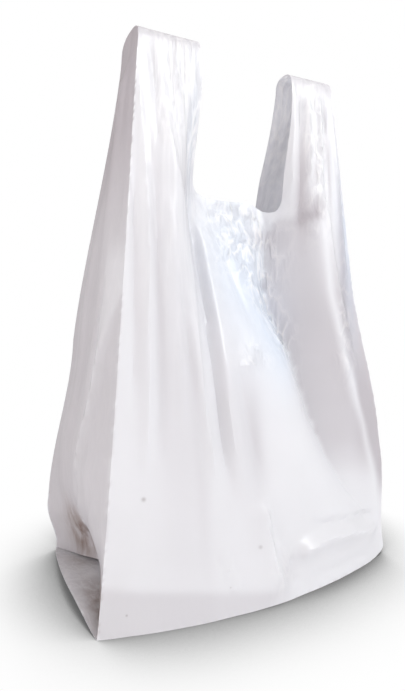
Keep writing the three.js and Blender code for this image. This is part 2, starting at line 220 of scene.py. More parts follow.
def curl(q):
    """How far the end of the base has curled at share q of the half width."""
    into = clamp(abs(q) * PANEL_WIDTH / 2 - PANEL_WIDTH / 2 + END_CURL_WIDTH, 0, END_CURL_WIDTH)
    return 1 - math.sqrt(1 - (into / END_CURL_WIDTH) ** 2)


def fold_x(face, side, z):
    """Where a panel meets a gusset, from the middle."""
    grip = grip_of(side)
    taper = lerp(PANEL_WIDTH / 2, grip["outer"], min(1, z / grip["height"]) ** 0.9)
    swell, peak, top = BELLY[face, side]
    return taper + swell * smoothstep(z, 0, 0.75 * peak) * (1 - smoothstep(z, peak, top))


def fold(face, side, z):
    out = open_depth(side, z) * turned(side, z)
    return Vector((side * fold_x(face, side, z), middle_y(side, z) + face * out, z))


def crease(side, z):
    """The crease down the middle of a side."""
    grip = grip_of(side)
    under = grip["height"] - GRIP_TURN
    closed = band(z, TUCK_FROM, TUCK_TO, under - TUCK_END, under)
    tuck = TUCK_SHARE[side] * (grip["outer"] - grip["inner"]) * closed
    pocket = POCKET_DEPTH * (1 - smoothstep(z, POCKET_SILL, POCKET_TOP))
    bulge = SIDE_BULGE[side] * band(z, FOOT_HEIGHT, 2 * FOOT_HEIGHT, under - TUCK_END, under)
    forward = SIDE_FORWARD[side] * smoothstep(z, FORWARD_FROM, FORWARD_TO)
    forward *= open_depth(side, z) * turned(side, z)
    out = (fold_x(-1, side, z) + fold_x(1, side, z)) / 2
    return Vector((side * (out - tuck - pocket + bulge), middle_y(side, z) - forward, z))


def corner_cut(d):
    """What the notch's rounded corners keep at distance d along either edge."""
    return 0.3 * NOTCH_RADIUS * max(0.0, 1 - abs(d) / NOTCH_RADIUS) ** 2


def slack_edge(face, side, z):
    """Edge of the slack, which is the handle's cut edge above the lip, as a share of the half width."""
    grip = grip_of(side)
    if z >= LIP_HEIGHT:
        up = clamp((z - LIP_HEIGHT) / (grip["height"] - LIP_HEIGHT))
        edge = lerp(grip["notch"], grip["inner"], up) - corner_cut(z - LIP_HEIGHT)
        return side * edge / fold_x(face, side, z)
    if (face, side) == (-1, 1):
        return along_points(FRONT_VALLEY, z) / fold_x(face, side, z)
    at_lip = grip["notch"] / fold_x(face, side, LIP_HEIGHT)
    up = smoothstep(z, -0.25 * LIP_HEIGHT, 0.8 * LIP_HEIGHT)
    return side * lerp(SLACK_FOOT[face, side], at_lip, up)


def share(side, across, left, right):
    """Share of the half width at a step across. The columns are a little closer by the outer fold."""
    if side == 0:
        return lerp(left, right, across)
    return lerp(side, left if side < 0 else right, across ** 1.1)


def under_grip(z):
    """Share of the body's shape that is left up the handles."""
    return 1 - smoothstep(z, LIP_HEIGHT, TURN_AT)


def bow(q, z):
    """How far a panel bows out over the foot."""
    return FOOT_BOW * (1 - q * q) * (1 - clamp(z / LIP_HEIGHT))


def sag(depth, q, z):
    """How far the slack hangs in, where it is depth at the lip."""
    hanging = depth * smoothstep(z, SAG_FROM * LIP_HEIGHT, LIP_HEIGHT) * under_grip(z)
    return hanging * (1 - smoothstep(abs(q), SLACK_CORE, SLACK_REACH))


def front_relief(x, q, z):
    """How far the front stands out at a place, before its gathers and creases."""
    valley = along_points(FRONT_VALLEY, z)
    crest = along_points(FRONT_CREST, z)
    if x > valley:
        dent = 1 - clamp((x - valley) / (crest - valley))
    else:
        dent = clamp(1 - (valley - x) / DENT_LEFT) ** 2
    crests = CREST * bump(q + CREST_AT, CREST_SPREAD) + RIGHT_CREST * bump(x - crest, RIGHT_CREST_SPREAD)
    crests *= smoothstep(z, FOOT_HEIGHT, CREST_FULL * LIP_HEIGHT) * under_grip(z)
    folds = crests - dent * along_points(DENT_DEPTH, z)
    return bow(q, z) - sag(FRONT_SAG, q, z) + folds * (1 - q ** 6)


def back_relief(x, q, z):
    """How far the back stands out at a place."""
    upright = band(z, 0, FOOT_HEIGHT, LIP_HEIGHT - BACK_GROOVE_END, LIP_HEIGHT)
    groove = BACK_GROOVE * upright * bump(q - slack_edge(1, 1, z), BACK_GROOVE_SPREAD)
    crests = sum(bump(q - side * BACK_CREST_AT, CREST_SPREAD) for side in (-1, 1))
    crests *= CREST * smoothstep(z, FOOT_HEIGHT, BACK_CREST_FULL) * under_grip(z)
    return bow(q, z) - sag(BACK_SAG, q, z) + (crests - groove) * (1 - q ** 6)


def panel_height(face, q, z):
    """The panel's rows are level, apart from the lifted corners of the foot and the shaped lip."""
    side = -1 if q < 0 else 1
    size = abs(q)
    lift = FOOT_LIFT[face, side] * curl(q) * (1 - smoothstep(z, 0, FOOT_HEIGHT))
    at_lip = 1 - smoothstep(abs(z - LIP_HEIGHT), 0, LIP_FADE)
    past = (size - abs(slack_edge(face, side, LIP_HEIGHT))) * fold_x(face, side, LIP_HEIGHT)
    dip = LIP_DIP * (1 - smoothstep(size, 0, 0.4))
    droop = LIP_DROOP * smoothstep(q, 0.2, 0.46) if q > 0 else 0.0
    drop = (BACK_LIP_DROP if face > 0 else 0.0) + droop
    return z + lift + at_lip * (corner_cut(past) - dip - drop * (1 - smoothstep(size, 0.5, 0.9)))


# Folds that run over the front: where the crest or groove runs from its upper or left end, as
# points (from the middle, height), how far it stands out, and how far it spreads to the left and
# right, or below and above where it lies across
FRONT_FOLDS = [
    # gathers that run far down from the left handle
    ([(-74, 400), (-67, 346), (-53, 311), (-50, 271), (-53, 221), (-54, 173), (-49, 127), (-46, 70)],
     4.4, 15, 4.0),
    ([(-55, 345), (-42, 311), (-38, 281), (-39, 251), (-41, 218), (-42, 187), (-40, 156), (-36, 117),
      (-33, 80)], -3.6, 4, 4.2),
    ([(-48, 352), (-36, 318), (-31, 290), (-31, 234), (-32, 202), (-32, 163), (-29, 116), (-24, 70)],
     3.2, 4.2, 16),
    ([(-94, 432), (-91, 369), (-90, 317), (-91, 272), (-94, 231), (-97, 160), (-102, 90)], 2.4, 5, 4),
    ([(-100, 360), (-100, 316), (-101, 272), (-104, 220), (-108, 150)], -1.8, 4, 4),
    ([(-82, 360), (-83, 317), (-84, 272), (-86, 220), (-88, 168), (-92, 110)], -2.2, 4.5, 6),
    ([(-64, 260), (-62, 193), (-56, 145), (-53, 95)], -2.2, 6, 5),
    ([(-72, 330), (-70, 260), (-70, 190), (-72, 130)], 1.6, 5, 5),
    ([(-20, 190), (-15, 150), (-9, 122), (-1, 85)], -2.0, 6, 6),
    ([(-24, 150), (-22, 110), (-20, 75)], 1.2, 4, 6),
    # gathers under the left handle's top, closest together by its cut edge
    ([(-83, 441), (-81, 425), (-79, 400), (-80, 350)], -1.2, 2.6, 2.6),
    ([(-76, 441), (-75, 425), (-72, 400), (-70, 350)], 1.0, 2.6, 3),
    ([(-66, 442), (-67, 427), (-65, 400), (-61, 350)], -1.4, 2.2, 2.2),
    ([(-60, 441), (-61, 425), (-58, 400), (-52, 350)], 1.4, 2.2, 2.2),
    ([(-54, 442), (-55, 422), (-52, 398), (-46, 350)], -1.4, 2.2, 2.2),
    ([(-48, 441), (-49, 419), (-47, 393), (-40, 340)], 1.4, 2.0, 2.2),
    # the slack under the lip
    ([(-26, 326), (-4, 320), (18, 316), (38, 318)], -1.4, 3, 3),
    ([(-20, 330), (3, 327), (26, 322), (40, 312)], 1.2, 1.6, 1.6),
    ([(-15, 308), (-9, 275), (-3, 243), (5, 221), (9, 205)], -1.5, 5, 5),
    ([(-18, 300), (2, 296), (21, 287), (30, 268)], 1.4, 2.6, 2.2),
    ([(14, 300), (22, 270), (24, 240)], 1.6, 4, 3),
    ([(-28, 192), (-16, 190), (-4, 190)], 1.2, 1.6, 1.4),
    ([(-3, 206), (-2, 198), (-6, 190)], 1.6, 1.3, 1.3),
    ([(3, 206), (3, 198), (1, 190)], 1.4, 1.2, 1.3),
    # a flap folded over at the valley, and the ragged edge above and below it
    ([(34, 226), (42, 214), (49, 203), (49, 196)], 1.4, 5, 4),
    ([(30, 214), (38, 204), (43, 194)], 1.4, 2.4, 2.4),
    ([(24, 228), (32, 212), (40, 198)], 1.6, 2.4, 2.4),
    ([(26, 104), (36, 108), (48, 104)], 1.3, 2, 2),
    # the right handle: its cut edge is rolled, and the film behind that falls back
    ([(53, 436), (52.5, 392), (54, 350), (52, 322)], 2.0, 3, 2.4),
    ([(60, 432), (61, 392), (61, 350), (60, 318), (64, 290)], -3.5, 3, 5),
    ([(68, 428), (69, 400), (68, 372), (66, 346)], 2.6, 3, 2.4),
    ([(79, 432), (80, 400), (79, 372), (75, 346)], 3.2, 4, 2.6),
    ([(86, 430), (86, 400), (84, 370), (82, 342), (86, 312)], -2.2, 2.6, 3),
    ([(76, 344), (83, 322), (87, 282), (95, 246), (98, 216)], 2.6, 4, 3),
    ([(92, 432), (96, 400), (99, 360), (101, 320), (103, 280), (107, 240)], 1.8, 3, 2.4),
    ([(64, 316), (66, 305), (72, 302)], 1.4, 2.4, 2),
    # crumples down the right-hand side
    ([(92, 240), (99, 232), (97, 220)], 1.8, 2.2, 2.2),
    ([(98, 222), (105, 208), (104, 198)], 2.2, 2.6, 2.2),
    ([(102, 200), (110, 190), (112, 176)], 1.8, 2.4, 2.2),
    # the pinch over the foot, and the creases that run to it from the left
    ([(-5, 84), (-3, 50), (2, 28), (9, 7)], 5.5, 13, 3.2),
    ([(16, 34), (17, 20), (17, 8)], -1.6, 4, 7),
    ([(-46, 52), (-41, 36), (-35, 16)], 1.4, 2.0, 2.4),
    ([(-138, 38), (-102, 31), (-65, 27), (-36, 19), (8, 9), (30, 3)], 2.2, 14, 30),
    # the roll of film at the right-hand end of the foot, with the creases over it
    ([(18, 34), (36, 39), (56, 41), (88, 38), (134, 28)], 8.5, 13, 7.0),
    ([(44, 52), (60, 51), (84, 48), (134, 42)], -1.0, 1.6, 1.6),
    ([(40, 58), (66, 57), (96, 52), (130, 46)], 1.8, 3.0, 5),
    ([(35, 11), (71, 10), (120, 9)], -1.2, 3, 4),
]

# Folds on the left gusset, as points (depth, height). The first two are its long creases
GUSSET_FOLDS = [
    ([(-58, 264), (-53, 248), (-44, 223), (-33, 196), (-26, 164), (-19, 139), (-11, 109), (-4, 76)],
     3.8, 3.6, 9),
    ([(-28, 266), (-19, 227), (-16, 187), (-12, 162), (-8, 112), (-2, 70)], -3.2, 4, 2.5),
    ([(-60, 128), (-52, 104), (-42, 80), (-26, 56)], 1.8, 1.6, 5),
    ([(6, 300), (18, 240), (26, 180), (28, 110)], 1.6, 5, 8),
    ([(-12, 84), (-2, 62), (8, 36)], 2.0, 2, 3),
    ([(10, 78), (20, 54), (26, 28)], 1.6, 2, 3),
    ([(-44, 412), (-40, 360), (-46, 300)], 1.0, 3, 3),
]
LONG_CREASES = [[(z, y) for y, z in reversed(points)] for points, *_ in GUSSET_FOLDS[:2]]

# The gathers down the back start here, from the middle, under both handles
BACK_GATHERS = (-84, -70, -58, -48, 56, 66, 78, 88)

# A fold's profile: how many spreads it reaches, how round its crest is, and how it falls away
FOLD_REACH = 3.6
CREST_ROUNDING = 0.06
ROUNDED_OFF = 0.245  # root of CREST_ROUNDING, so that a fold has its full rise on its line
FALL = 1.2
FALL_GROWTH = 0.5
# A fold rises over the first share of its length, and runs out over the last
RISE_SHARE = 0.14
RUN_OUT_SHARE = 0.2


class Fold:
    """A crest or groove of the film, along a line of points on a panel."""

    def __init__(self, points, rise, left, right):
        self.points = points
        self.rise = rise
        self.left = left
        self.right = right
        reach = FOLD_REACH * max(left, right)
        self.low = (min(p[0] for p in points) - reach, min(p[1] for p in points) - reach)
        self.high = (max(p[0] for p in points) + reach, max(p[1] for p in points) + reach)
        self.lengths = [math.dist(a, b) for a, b in zip(points, points[1:])]
        self.total = sum(self.lengths)

    def lift(self, x, z):
        if not (self.low[0] < x < self.high[0] and self.low[1] < z < self.high[1]):
            return 0.0
        nearest = math.inf
        so_far = 0.0
        for (ax, az), (bx, bz), length in zip(self.points, self.points[1:], self.lengths):
            ux, uz = (bx - ax) / length, (bz - az) / length
            t = clamp((x - ax) * ux + (z - az) * uz, 0, length)
            dx, dz = x - ax - ux * t, z - az - uz * t
            d = math.hypot(dx, dz)
            if d < nearest:
                nearest = d
                on_left = ux * dz - uz * dx < 0
                run = so_far + t
            so_far += length
        spread = self.left if on_left else self.right
        ends = smoothstep(run, 0, RISE_SHARE * self.total)
        ends *= smoothstep(self.total - run, 0, RUN_OUT_SHARE * self.total)
        away = math.sqrt((nearest / spread) ** 2 + CREST_ROUNDING) - ROUNDED_OFF
        return self.rise * ends * math.exp(-FALL * away * (1 + FALL_GROWTH * away))


def gathers_of_back():
    draw = random.Random(7)
    gathers = []
    for start in BACK_GATHERS:
        low = draw.uniform(120, 260)
        points = [(start, 428), (start * 1.02, 350), (start * draw.uniform(0.8, 1.0), low)]
        gathers.append(Fold(points, draw.choice([-2.4, 2.6]), 5, 6))
    return gathers


front_folds = [Fold(*f) for f in FRONT_FOLDS]
gusset_folds = [Fold(*f) for f in GUSSET_FOLDS]
back_folds = gathers_of_back()


def panel_point(face, side, across, z):
    """A point of a panel. across is 0 at the outer fold and 1 at the edge of the slack."""
    q = share(side, across, slack_edge(face, -1, z), slack_edge(face, 1, z))
    x = q * fold_x(face, -1 if q < 0 else 1, z)
    height = panel_height(face, q, z)
    inside = 1 - abs(q)
    folds = front_folds if face < 0 else back_folds
    lift = sum(f.lift(x, height) for f in folds) * smoothstep(inside, 0, FOLDS_CLEAR)
    unevenness = noise.noise(Vector((x / UNEVEN_WIDTH, z / UNEVEN_HEIGHT, 3.0 * face)))
    lift += UNEVEN * unevenness * smoothstep(inside, 0, UNEVEN_CLEAR)
    relief = front_relief if face < 0 else back_relief
    out = (open_depth(q, z) + relief(x, q, z) + lift) * turned(side, z)
    return Vector((x, middle_y(q, z) + face * out, height))


def gusset_point(face, side, across, z):
    """A point of a gusset half, from 0 at the panel's fold to 1 at the crease."""
    edge = fold(face, side, z)
    edge.z = panel_height(face, side, z)
    middle = crease(side, z)
    middle.z = z + POCKET_SILL * (1 - smoothstep(z, 0, FOOT_HEIGHT))
    point = edge.lerp(middle, across)
    body = band(z, FOOT_HEIGHT, 2 * FOOT_HEIGHT, SWELL_FADE, SWELL_END)
    ripple = noise.noise(Vector((across * 2.5 + 9 * side, z / RIPPLE_LENGTH, face * 5.0)))
    hump = math.sin(math.pi * across)
    out = SIDE_SWELL * hump * body
    out += SIDE_RIPPLE * ripple * hump * (1 - smoothstep(z, RIPPLE_FADE, RIPPLE_END))
    if side < 0:
        inside = smoothstep(across, GUSSET_FOLDS_FROM, GUSSET_FOLDS_TO)
        out += sum(f.lift(point.y, point.z) for f in gusset_folds) * inside
    point.x += side * out
    return point


def foot_end(face, side, along):
    """The base's outline at one end: 0 at the weld and 1 at the corner."""
    lift = FOOT_LIFT[face, side]
    rise = lift + (END_CURL - lift) * (1 - along ** 3) ** 1.5
    at = fold(face, side, 0)
    return Vector((at.x + side * END_BOW * (1 - along ** 2), at.y * along, rise))


def base_point(face, side, across, along):
    """A point of the base, from 0 at the weld to 1 at the foot's edge."""
    edge = panel_point(face, side, across, 0)
    at_weld = share(side, across, -WELD_SPLIT, WELD_SPLIT)
    q = lerp(at_weld, edge.x / (PANEL_WIDTH / 2), along)
    end = foot_end(face, -1 if q < 0 else 1, along)
    return Vector((q * abs(end.x), edge.y * along, end.z * curl(q)))


def pocket_tip(side):
    return Vector((foot_end(1, side, 0).x - side * GUSSET_HALF, 0, POCKET_INNER))


def pocket_point(face, side, across, along):
    """The end of a gusset half under the wall is a square folded on its diagonal, as on a parcel."""
    foot = foot_end(face, side, 1)
    end = foot_end(face, side, 0)
    tip = pocket_tip(side)
    if along > 1 - across + 1e-6:
        sill = gusset_point(face, side, 1, 0)
        return sill + (foot - sill) * (1 - across) + (tip - sill) * (1 - along)
    flat = end + (tip - end) * across + (foot - end) * along
    bowed = foot_end(face, side, along) - end.lerp(foot, along)
    return flat + bowed * (1 - across / (1 - along) if along < 1 else 0)


# How the film looks from place to place

# Of these looks, the third, fourth and fifth are painted light: a bluish sheen, shade, and a warm shade in
# the fold at the left side's foot. The first two also set painted highlights along creases and painted shade
# between them.
LOOKS = ("crinkled", "gathered", "cool_sheen", "painted_shade", "warm_fold_shade")

# Places on the front: from the middle and height, half their size, and a strength.
# Finely crinkled places, which also get painted highlights along their crests and painted shade between them
CRINKLED = [
    ((6, 318), (30, 16), 1.0), ((22, 290), (24, 26), 1.0), ((27, 256), (16, 34), 1.0),
    ((4, 290), (30, 30), 0.55), ((42, 210), (12, 22), 1.0), ((52, 170), (9, 30), 0.5),
    ((0, 196), (14, 10), 0.7), ((75, 388), (10, 44), 1.0), ((74, 330), (14, 30), 0.5),
    ((99, 215), (9, 40), 0.9), ((104, 300), (8, 70), 0.4), ((8, 24), (12, 22), 0.3),
    ((-50, 400), (14, 60), 0.35),
]
# places gathered into fine upright pleats, which also get painted highlights along the pleats and painted
# shade between them
GATHERED = [
    ((-62, 420), (24, 48), 1.0), ((-46, 380), (12, 60), 0.9), ((72, 410), (22, 50), 0.5),
    ((-60, 300), (40, 90), 0.25),
]
# places with a painted bluish sheen
COOL_SHEEN = [
    ((4, 270), (36, 70), 1.0), ((30, 210), (20, 40), 0.8), ((108, 300), (10, 90), 1.0),
    ((-44, 375), (6, 50), 0.5),
]
# places that lie in their own shade
DIM = [
    ((61, 345), (4, 44), 0.8), ((70, 330), (7, 11), 0.8), ((88, 372), (2.5, 40), 0.6),
    ((34, 300), (14, 9), 0.5), ((-84, 260), (4, 90), 0.3), ((-101, 270), (4, 80), 0.2),
    ((-36, 220), (5, 90), 0.35), ((-50, 330), (5, 40), 0.25), ((12, 22), (8, 14), 0.2),
    ((-8, 130), (7, 40), 0.3), ((-60, 190), (5, 60), 0.25), ((-74, 170), (20, 140), 0.25),
    ((-20, 150), (16, 90), 0.2), ((101, 310), (4, 70), 0.6), ((-58, 90), (5, 60), 0.15),
    ((118, 130), (10, 60), 0.25),
]
# grey specks of dirt, with their radius and strength
SPECKS = [
    ((-103, 96), 2.8, 0.4), ((-13, 48), 2.6, 0.3), ((-119, 15), 1.4, 0.4), ((-41, 23), 1.2, 0.25),
]
# painted warm brown shade in the fold at the foot of the left side, as depth and height
WARM_FOLD_SHADE_PLACES = [((25, 44), (17, 18), 1.0), ((30, 24), (20, 14), 0.7), ((-52, 12), (28, 20), 1.0)]

# How much painted shade greys the film, from 0 to 1.
# The heights of a shade are where it begins, is full, begins to fade and ends
DENT_SHADE = 0.62
DENT_SHADE_HEIGHTS = (66, 120, 320, 336)
DENT_PALER = 0.4  # the dent's shade is this much weaker in its upper part
RIM_SHADE_HEIGHTS = (44, 84, 230, 330)  # beyond the dent's crest
RIM_PALER = 0.35
FOOT_SHADE = 0.3  # under a crease that rises to the left
FOOT_CREASE_HEIGHT = 12
FOOT_CREASE_SLOPE = 0.18
TOP_SHADE = 0.35  # from a little under each handle's top
GUSSET_SHADE = 0.3
GUSSET_BACK_SHADE = 0.15  # this much more behind the gusset's crease
GUSSET_TOP_SHADE = 0.7  # and up high
STRIP_PALER = 0.45  # and less in the strip between its two long creases
STRIP_HEIGHTS = (80, 110, 250, 300)
BASE_SHADE = 0.3
BACK_SHADE = 0.15
# The painted shade's edge along the slack is ragged: by how much, at what length, and a lane in the noise
RAGGED = [(3.5, 7, 4), (1.5, 2.6, 9)]
# How crinkled and gathered the film is at most away from the front, and how much painted bluish sheen it has
# there
BACK_CRINKLED = 0.3
BACK_GATHERED = 0.5
BACK_COOL_SHEEN = 0.3
LEFT_CRINKLED = 0.1
RIGHT_CRINKLED = 0.15
SIDE_GATHERED = 0.3
BASE_CRINKLED = 0.2
POCKET_CRINKLED = 0.3


def strength_at(places, x, z):
    return clamp(sum(s * math.exp(-((x - a) / w) ** 2 - ((z - b) / h) ** 2) for (a, b), (w, h), s in places))


def front_shade(x, z):
    """The painted shade of the front: in the dent, beyond its crest, by the foot and over the handles."""
    ragged = sum(size * noise.noise(Vector((z / length, lane, 0))) for size, length, lane in RAGGED)
    valley = along_points(FRONT_VALLEY, z) + ragged
    crest = along_points(FRONT_CREST, z)
    dent = band(x, valley - 1, valley + 4, crest - 8, crest)
    dent *= band(z, *DENT_SHADE_HEIGHTS) * (1 - DENT_PALER * smoothstep(z, 210, 300))
    rim = smoothstep(x, crest - 3, crest + 9) * band(z, *RIM_SHADE_HEIGHTS)
    rim *= 1 - RIM_PALER * smoothstep(z, 120, 220)
    foot_crease = FOOT_CREASE_HEIGHT - FOOT_CREASE_SLOPE * x
    foot = (1 - smoothstep(z, foot_crease - 5, foot_crease + 4)) * (1 - smoothstep(x, -10, 20))
    top = grip_of(x)["height"]
    ends = FOOT_SHADE * foot + TOP_SHADE * smoothstep(z, top - 18, top - 8)
    return max(DENT_SHADE * dent, rim, ends)


def panel_look(face, side, across, z):
    """Crinkled, gathered, painted bluish sheen, painted shade and painted warm shade, each from 0 to 1, at a
    place of a panel.
    """
    if face > 0:
        crinkled = BACK_CRINKLED * smoothstep(z, 120, 330)
        return crinkled, BACK_GATHERED * smoothstep(z, 330, 420), BACK_COOL_SHEEN, BACK_SHADE, 0.0
    q = share(side, across, slack_edge(face, -1, z), slack_edge(face, 1, z))
    x = q * fold_x(face, -1 if q < 0 else 1, z)
    crinkled, gathered, cool_sheen, dim = (strength_at(places, x, z) for places in (CRINKLED, GATHERED, COOL_SHEEN, DIM))
    return crinkled, gathered, cool_sheen, clamp(front_shade(x, z) + dim), 0.0


def gusset_look(face, side, across, z):
    gathered = SIDE_GATHERED * smoothstep(z, 350, 430)
    if side > 0:
        return RIGHT_CRINKLED, gathered, 0.0, 0.0, 0.0
    point = gusset_point(face, side, across, z)
    # between the two long creases the painted shade is weaker, so that the strip looks lighter
    first, second = (along_points(line, z) for line in LONG_CREASES)
    strip = band(point.y, first - 3, first + 4, second - 4, second + 3) * band(z, *STRIP_HEIGHTS)
    from_front = across if face < 0 else 2 - across
    # painted shade on the left gusset, more behind its crease and up high
    painted_shade = GUSSET_SHADE + GUSSET_BACK_SHADE * smoothstep(from_front, 0.8, 1.1)
    painted_shade += GUSSET_TOP_SHADE * smoothstep(z, 280, 400) - STRIP_PALER * strip
    # the last look is the painted warm shade in the fold at the gusset's foot
    return LEFT_CRINKLED, gathered, 0.0, max(0.0, painted_shade), strength_at(WARM_FOLD_SHADE_PLACES, point.y, point.z)


def base_look(face, side, across, along):
    return BASE_CRINKLED, 0.0, 0.0, BASE_SHADE, 0.0


def pocket_look(face, side, across, along):
    if side > 0:
        return POCKET_CRINKLED, 0.0, 0.0, 0.0, 0.0
    point = pocket_point(face, side, across, along)
    # painted warm shade in the pocket's fold
    fold_shade = strength_at(WARM_FOLD_SHADE_PLACES, point.y, point.z) * smoothstep(across, 0.02, 0.25)
    return POCKET_CRINKLED, 0.0, 0.0, 0.0, fold_shade


# The bag's mesh

def steps(count):
    return [i / count for i in range(count + 1)]


def rows_between(low, high, pitch):
    count = max(1, round((high - low) / pitch))
    return [lerp(low, high, t) for t in steps(count)]


HANDLE_COLUMNS = steps(36)
SLACK_COLUMNS = steps(40)
SQUARE_STEPS = steps(18)
TURN_ROWS = 8
# The rows are closer together over the foot, and from the flap in the valley up
FOOT_ROWS_TOP = 64
UPPER_ROWS_FROM = 184
FOOT_PITCH = 2.6
MIDDLE_PITCH = 4.4
UPPER_PITCH = 2.8


def wall_rows():
    foot = rows_between(0, FOOT_ROWS_TOP, FOOT_PITCH)
    middle = rows_between(FOOT_ROWS_TOP, UPPER_ROWS_FROM, MIDDLE_PITCH)
    upper = rows_between(UPPER_ROWS_FROM, LIP_HEIGHT, UPPER_PITCH)
    return foot + middle[1:] + upper[1:]


def handle_rows(side):
    top = grip_of(side)["height"]
    straight = rows_between(LIP_HEIGHT, top - GRIP_TURN, UPPER_PITCH)[1:]
    over = [top - GRIP_TURN * (1 - math.sin(t * math.pi / 2)) for t in steps(TURN_ROWS)[1:]]
    return wall_rows() + straight + over


def add_patch(vertices, looks, quads, columns, rows, place, look, flip):
    start = len(vertices)
    for row in rows:
        for column in columns:
            vertices.append(place(column, row) * MM)
            looks.append(look(column, row))
    wide = len(columns)
    for r in range(len(rows) - 1):
        for c in range(wide - 1):
            a = start + r * wide + c
            ring = (a, a + 1, a + wide + 1, a + wide)
            quads.append(ring[::-1] if flip else ring)


def bag_sheet():
    """The whole bag as one sheet with no thickness, facing out."""
    vertices, looks, quads = [], [], []

    def patch(columns, rows, makers, face, side, flip):
        place, look = (partial(make, face, side) for make in makers)
        add_patch(vertices, looks, quads, columns, rows, place, look, flip)

    gusset = (gusset_point, gusset_look)
    panel = (panel_point, panel_look)
    base = (base_point, base_look)
    pocket = (pocket_point, pocket_look)

    for face in (-1, 1):
        for side in (-1, 1):
            flip = face * side < 0
            up = handle_rows(side)
            patch(SQUARE_STEPS, up, gusset, face, side, not flip)
            patch(HANDLE_COLUMNS, up, panel, face, side, flip)
            patch(HANDLE_COLUMNS, SQUARE_STEPS, base, face, side, flip)
            patch(SQUARE_STEPS, SQUARE_STEPS, pocket, face, side, not flip)
        patch(SLACK_COLUMNS, wall_rows(), panel, face, 0, face > 0)
        patch(SLACK_COLUMNS, SQUARE_STEPS, base, face, 0, face > 0)
    mesh = bpy.data.meshes.new("bag")
    mesh.from_pydata(vertices, [], quads)
    for name, values in zip(LOOKS, zip(*looks)):
        mesh.attributes.new(name, "FLOAT", "POINT").data.foreach_set("value", values)
    return mesh


def only(piece):
    """Selects one piece and nothing else."""
    bpy.ops.object.select_all(action="DESELECT")
    piece.select_set(True)
    bpy.context.view_layer.objects.active = piece


def make_bag():
    bag = bpy.data.objects.new("bag", bag_sheet())
    bpy.context.collection.objects.link(bag)
    only(bag)
    bpy.ops.object.mode_set(mode="EDIT")
    bpy.ops.mesh.select_all(action="SELECT")
    bpy.ops.mesh.remove_doubles(threshold=0.02 * MM)
    bpy.ops.object.mode_set(mode="OBJECT")
    wall = bag.modifiers.new("wall", "SOLIDIFY")
    wall.thickness = FILM * MM
    wall.offset = 0
    bpy.ops.object.modifier_apply(modifier="wall")
    bpy.ops.object.shade_smooth_by_angle(angle=math.radians(32))
    return bag


# Materials

# Sizes of the film's own patterns, in millimetres, and how far each stands out
CRINKLE_SIZE = 8.7
CRINKLE_RISE = 1.1
PLEAT_SIZE = 5.88
PLEAT_RISE = 0.65
STREAK_SIZE = 16.7  # long soft streaks from the blowing
STREAK_RISE = 0.45
CLOUD_SIZE = 71.4
SHADE_STREAK_SIZE = 7.7  # the painted warm shade in the fold at the left side's foot lies in streaks
# and how they lie: turned about Y or X, in degrees, and stretched along Z
CRINKLE_SLANT = 35
CRINKLE_STRETCH = 0.42
PLEAT_SLANT = -4
PLEAT_STRETCH = 0.035
STREAK_STRETCH = 0.1
SHADE_STREAK_SLANT = 24
SHADE_STREAK_STRETCH = 0.3

FILM_WHITE = "#F4F4F6"
FILM_CLOUDED = "#EEEEF0"
# a painted bluish sheen
FILM_SHEEN_BLUE = "#ECF1F8"
# the grey of painted shade
PAINTED_SHADE_GREY = "#E0DCDE"
# the next two: the painted highlight along crests, partly the film's own whitening where it is creased, and
# the painted shade between crests
CREASE_WHITE_AND_HIGHLIGHT = "#FFFFFF"
CREASE_SHADE = "#C8C6CA"
# a warm brown for the painted shade in the fold at the left side's foot
WARM_FOLD_SHADE_BROWN = "#A8968F"
SPECK_GREY = "#9A9290"
FILM_ROUGHNESS = 0.24
FILM_IOR = 1.5
SHINES_THROUGH = 0.56  # share of the light that the film lets through

# Kinds of node and settings that are used often
MATHS = "ShaderNodeMath"
MAPPING = "ShaderNodeMapping"
MAP_RANGE = "ShaderNodeMapRange"
MIX = "ShaderNodeMixRGB"
NOISE = "ShaderNodeTexNoise"
TIMES = {"operation": "MULTIPLY"}
TIMES_PLUS = {"operation": "MULTIPLY_ADD"}
RIDGED = {"noise_type": "RIDGED_MULTIFRACTAL"}
SMOOTH = {"interpolation_type": "SMOOTHSTEP"}


def linear(code):
    """An sRGB hex colour as linear red, green, blue and alpha."""
    values = [int(code[i:i + 2], 16) / 255 for i in (1, 3, 5)]
    return tuple(v / 12.92 if v <= 0.04045 else ((v + 0.055) / 1.055) ** 2.4 for v in values) + (1.0,)


def add_node(tree, kind, settings=None, **links):
    """A node with its settings, and its inputs, by name or as _number, set or linked to other nodes."""
    node = tree.nodes.new(kind)
    for name, value in (settings or {}).items():
        setattr(node, name, value)
    for name, value in links.items():
        socket = node.inputs[int(name[1:]) if name[0] == "_" else name.replace("_", " ")]
        if isinstance(value, bpy.types.Node):
            value = value.outputs[0]
        if isinstance(value, bpy.types.NodeSocket):
            tree.links.new(value, socket)
        else:
            socket.default_value = value
    return node


def new_material(name):
    material = bpy.data.materials.new(name)
    material.use_nodes = True
    material.node_tree.nodes.clear()
    return material, material.node_tree


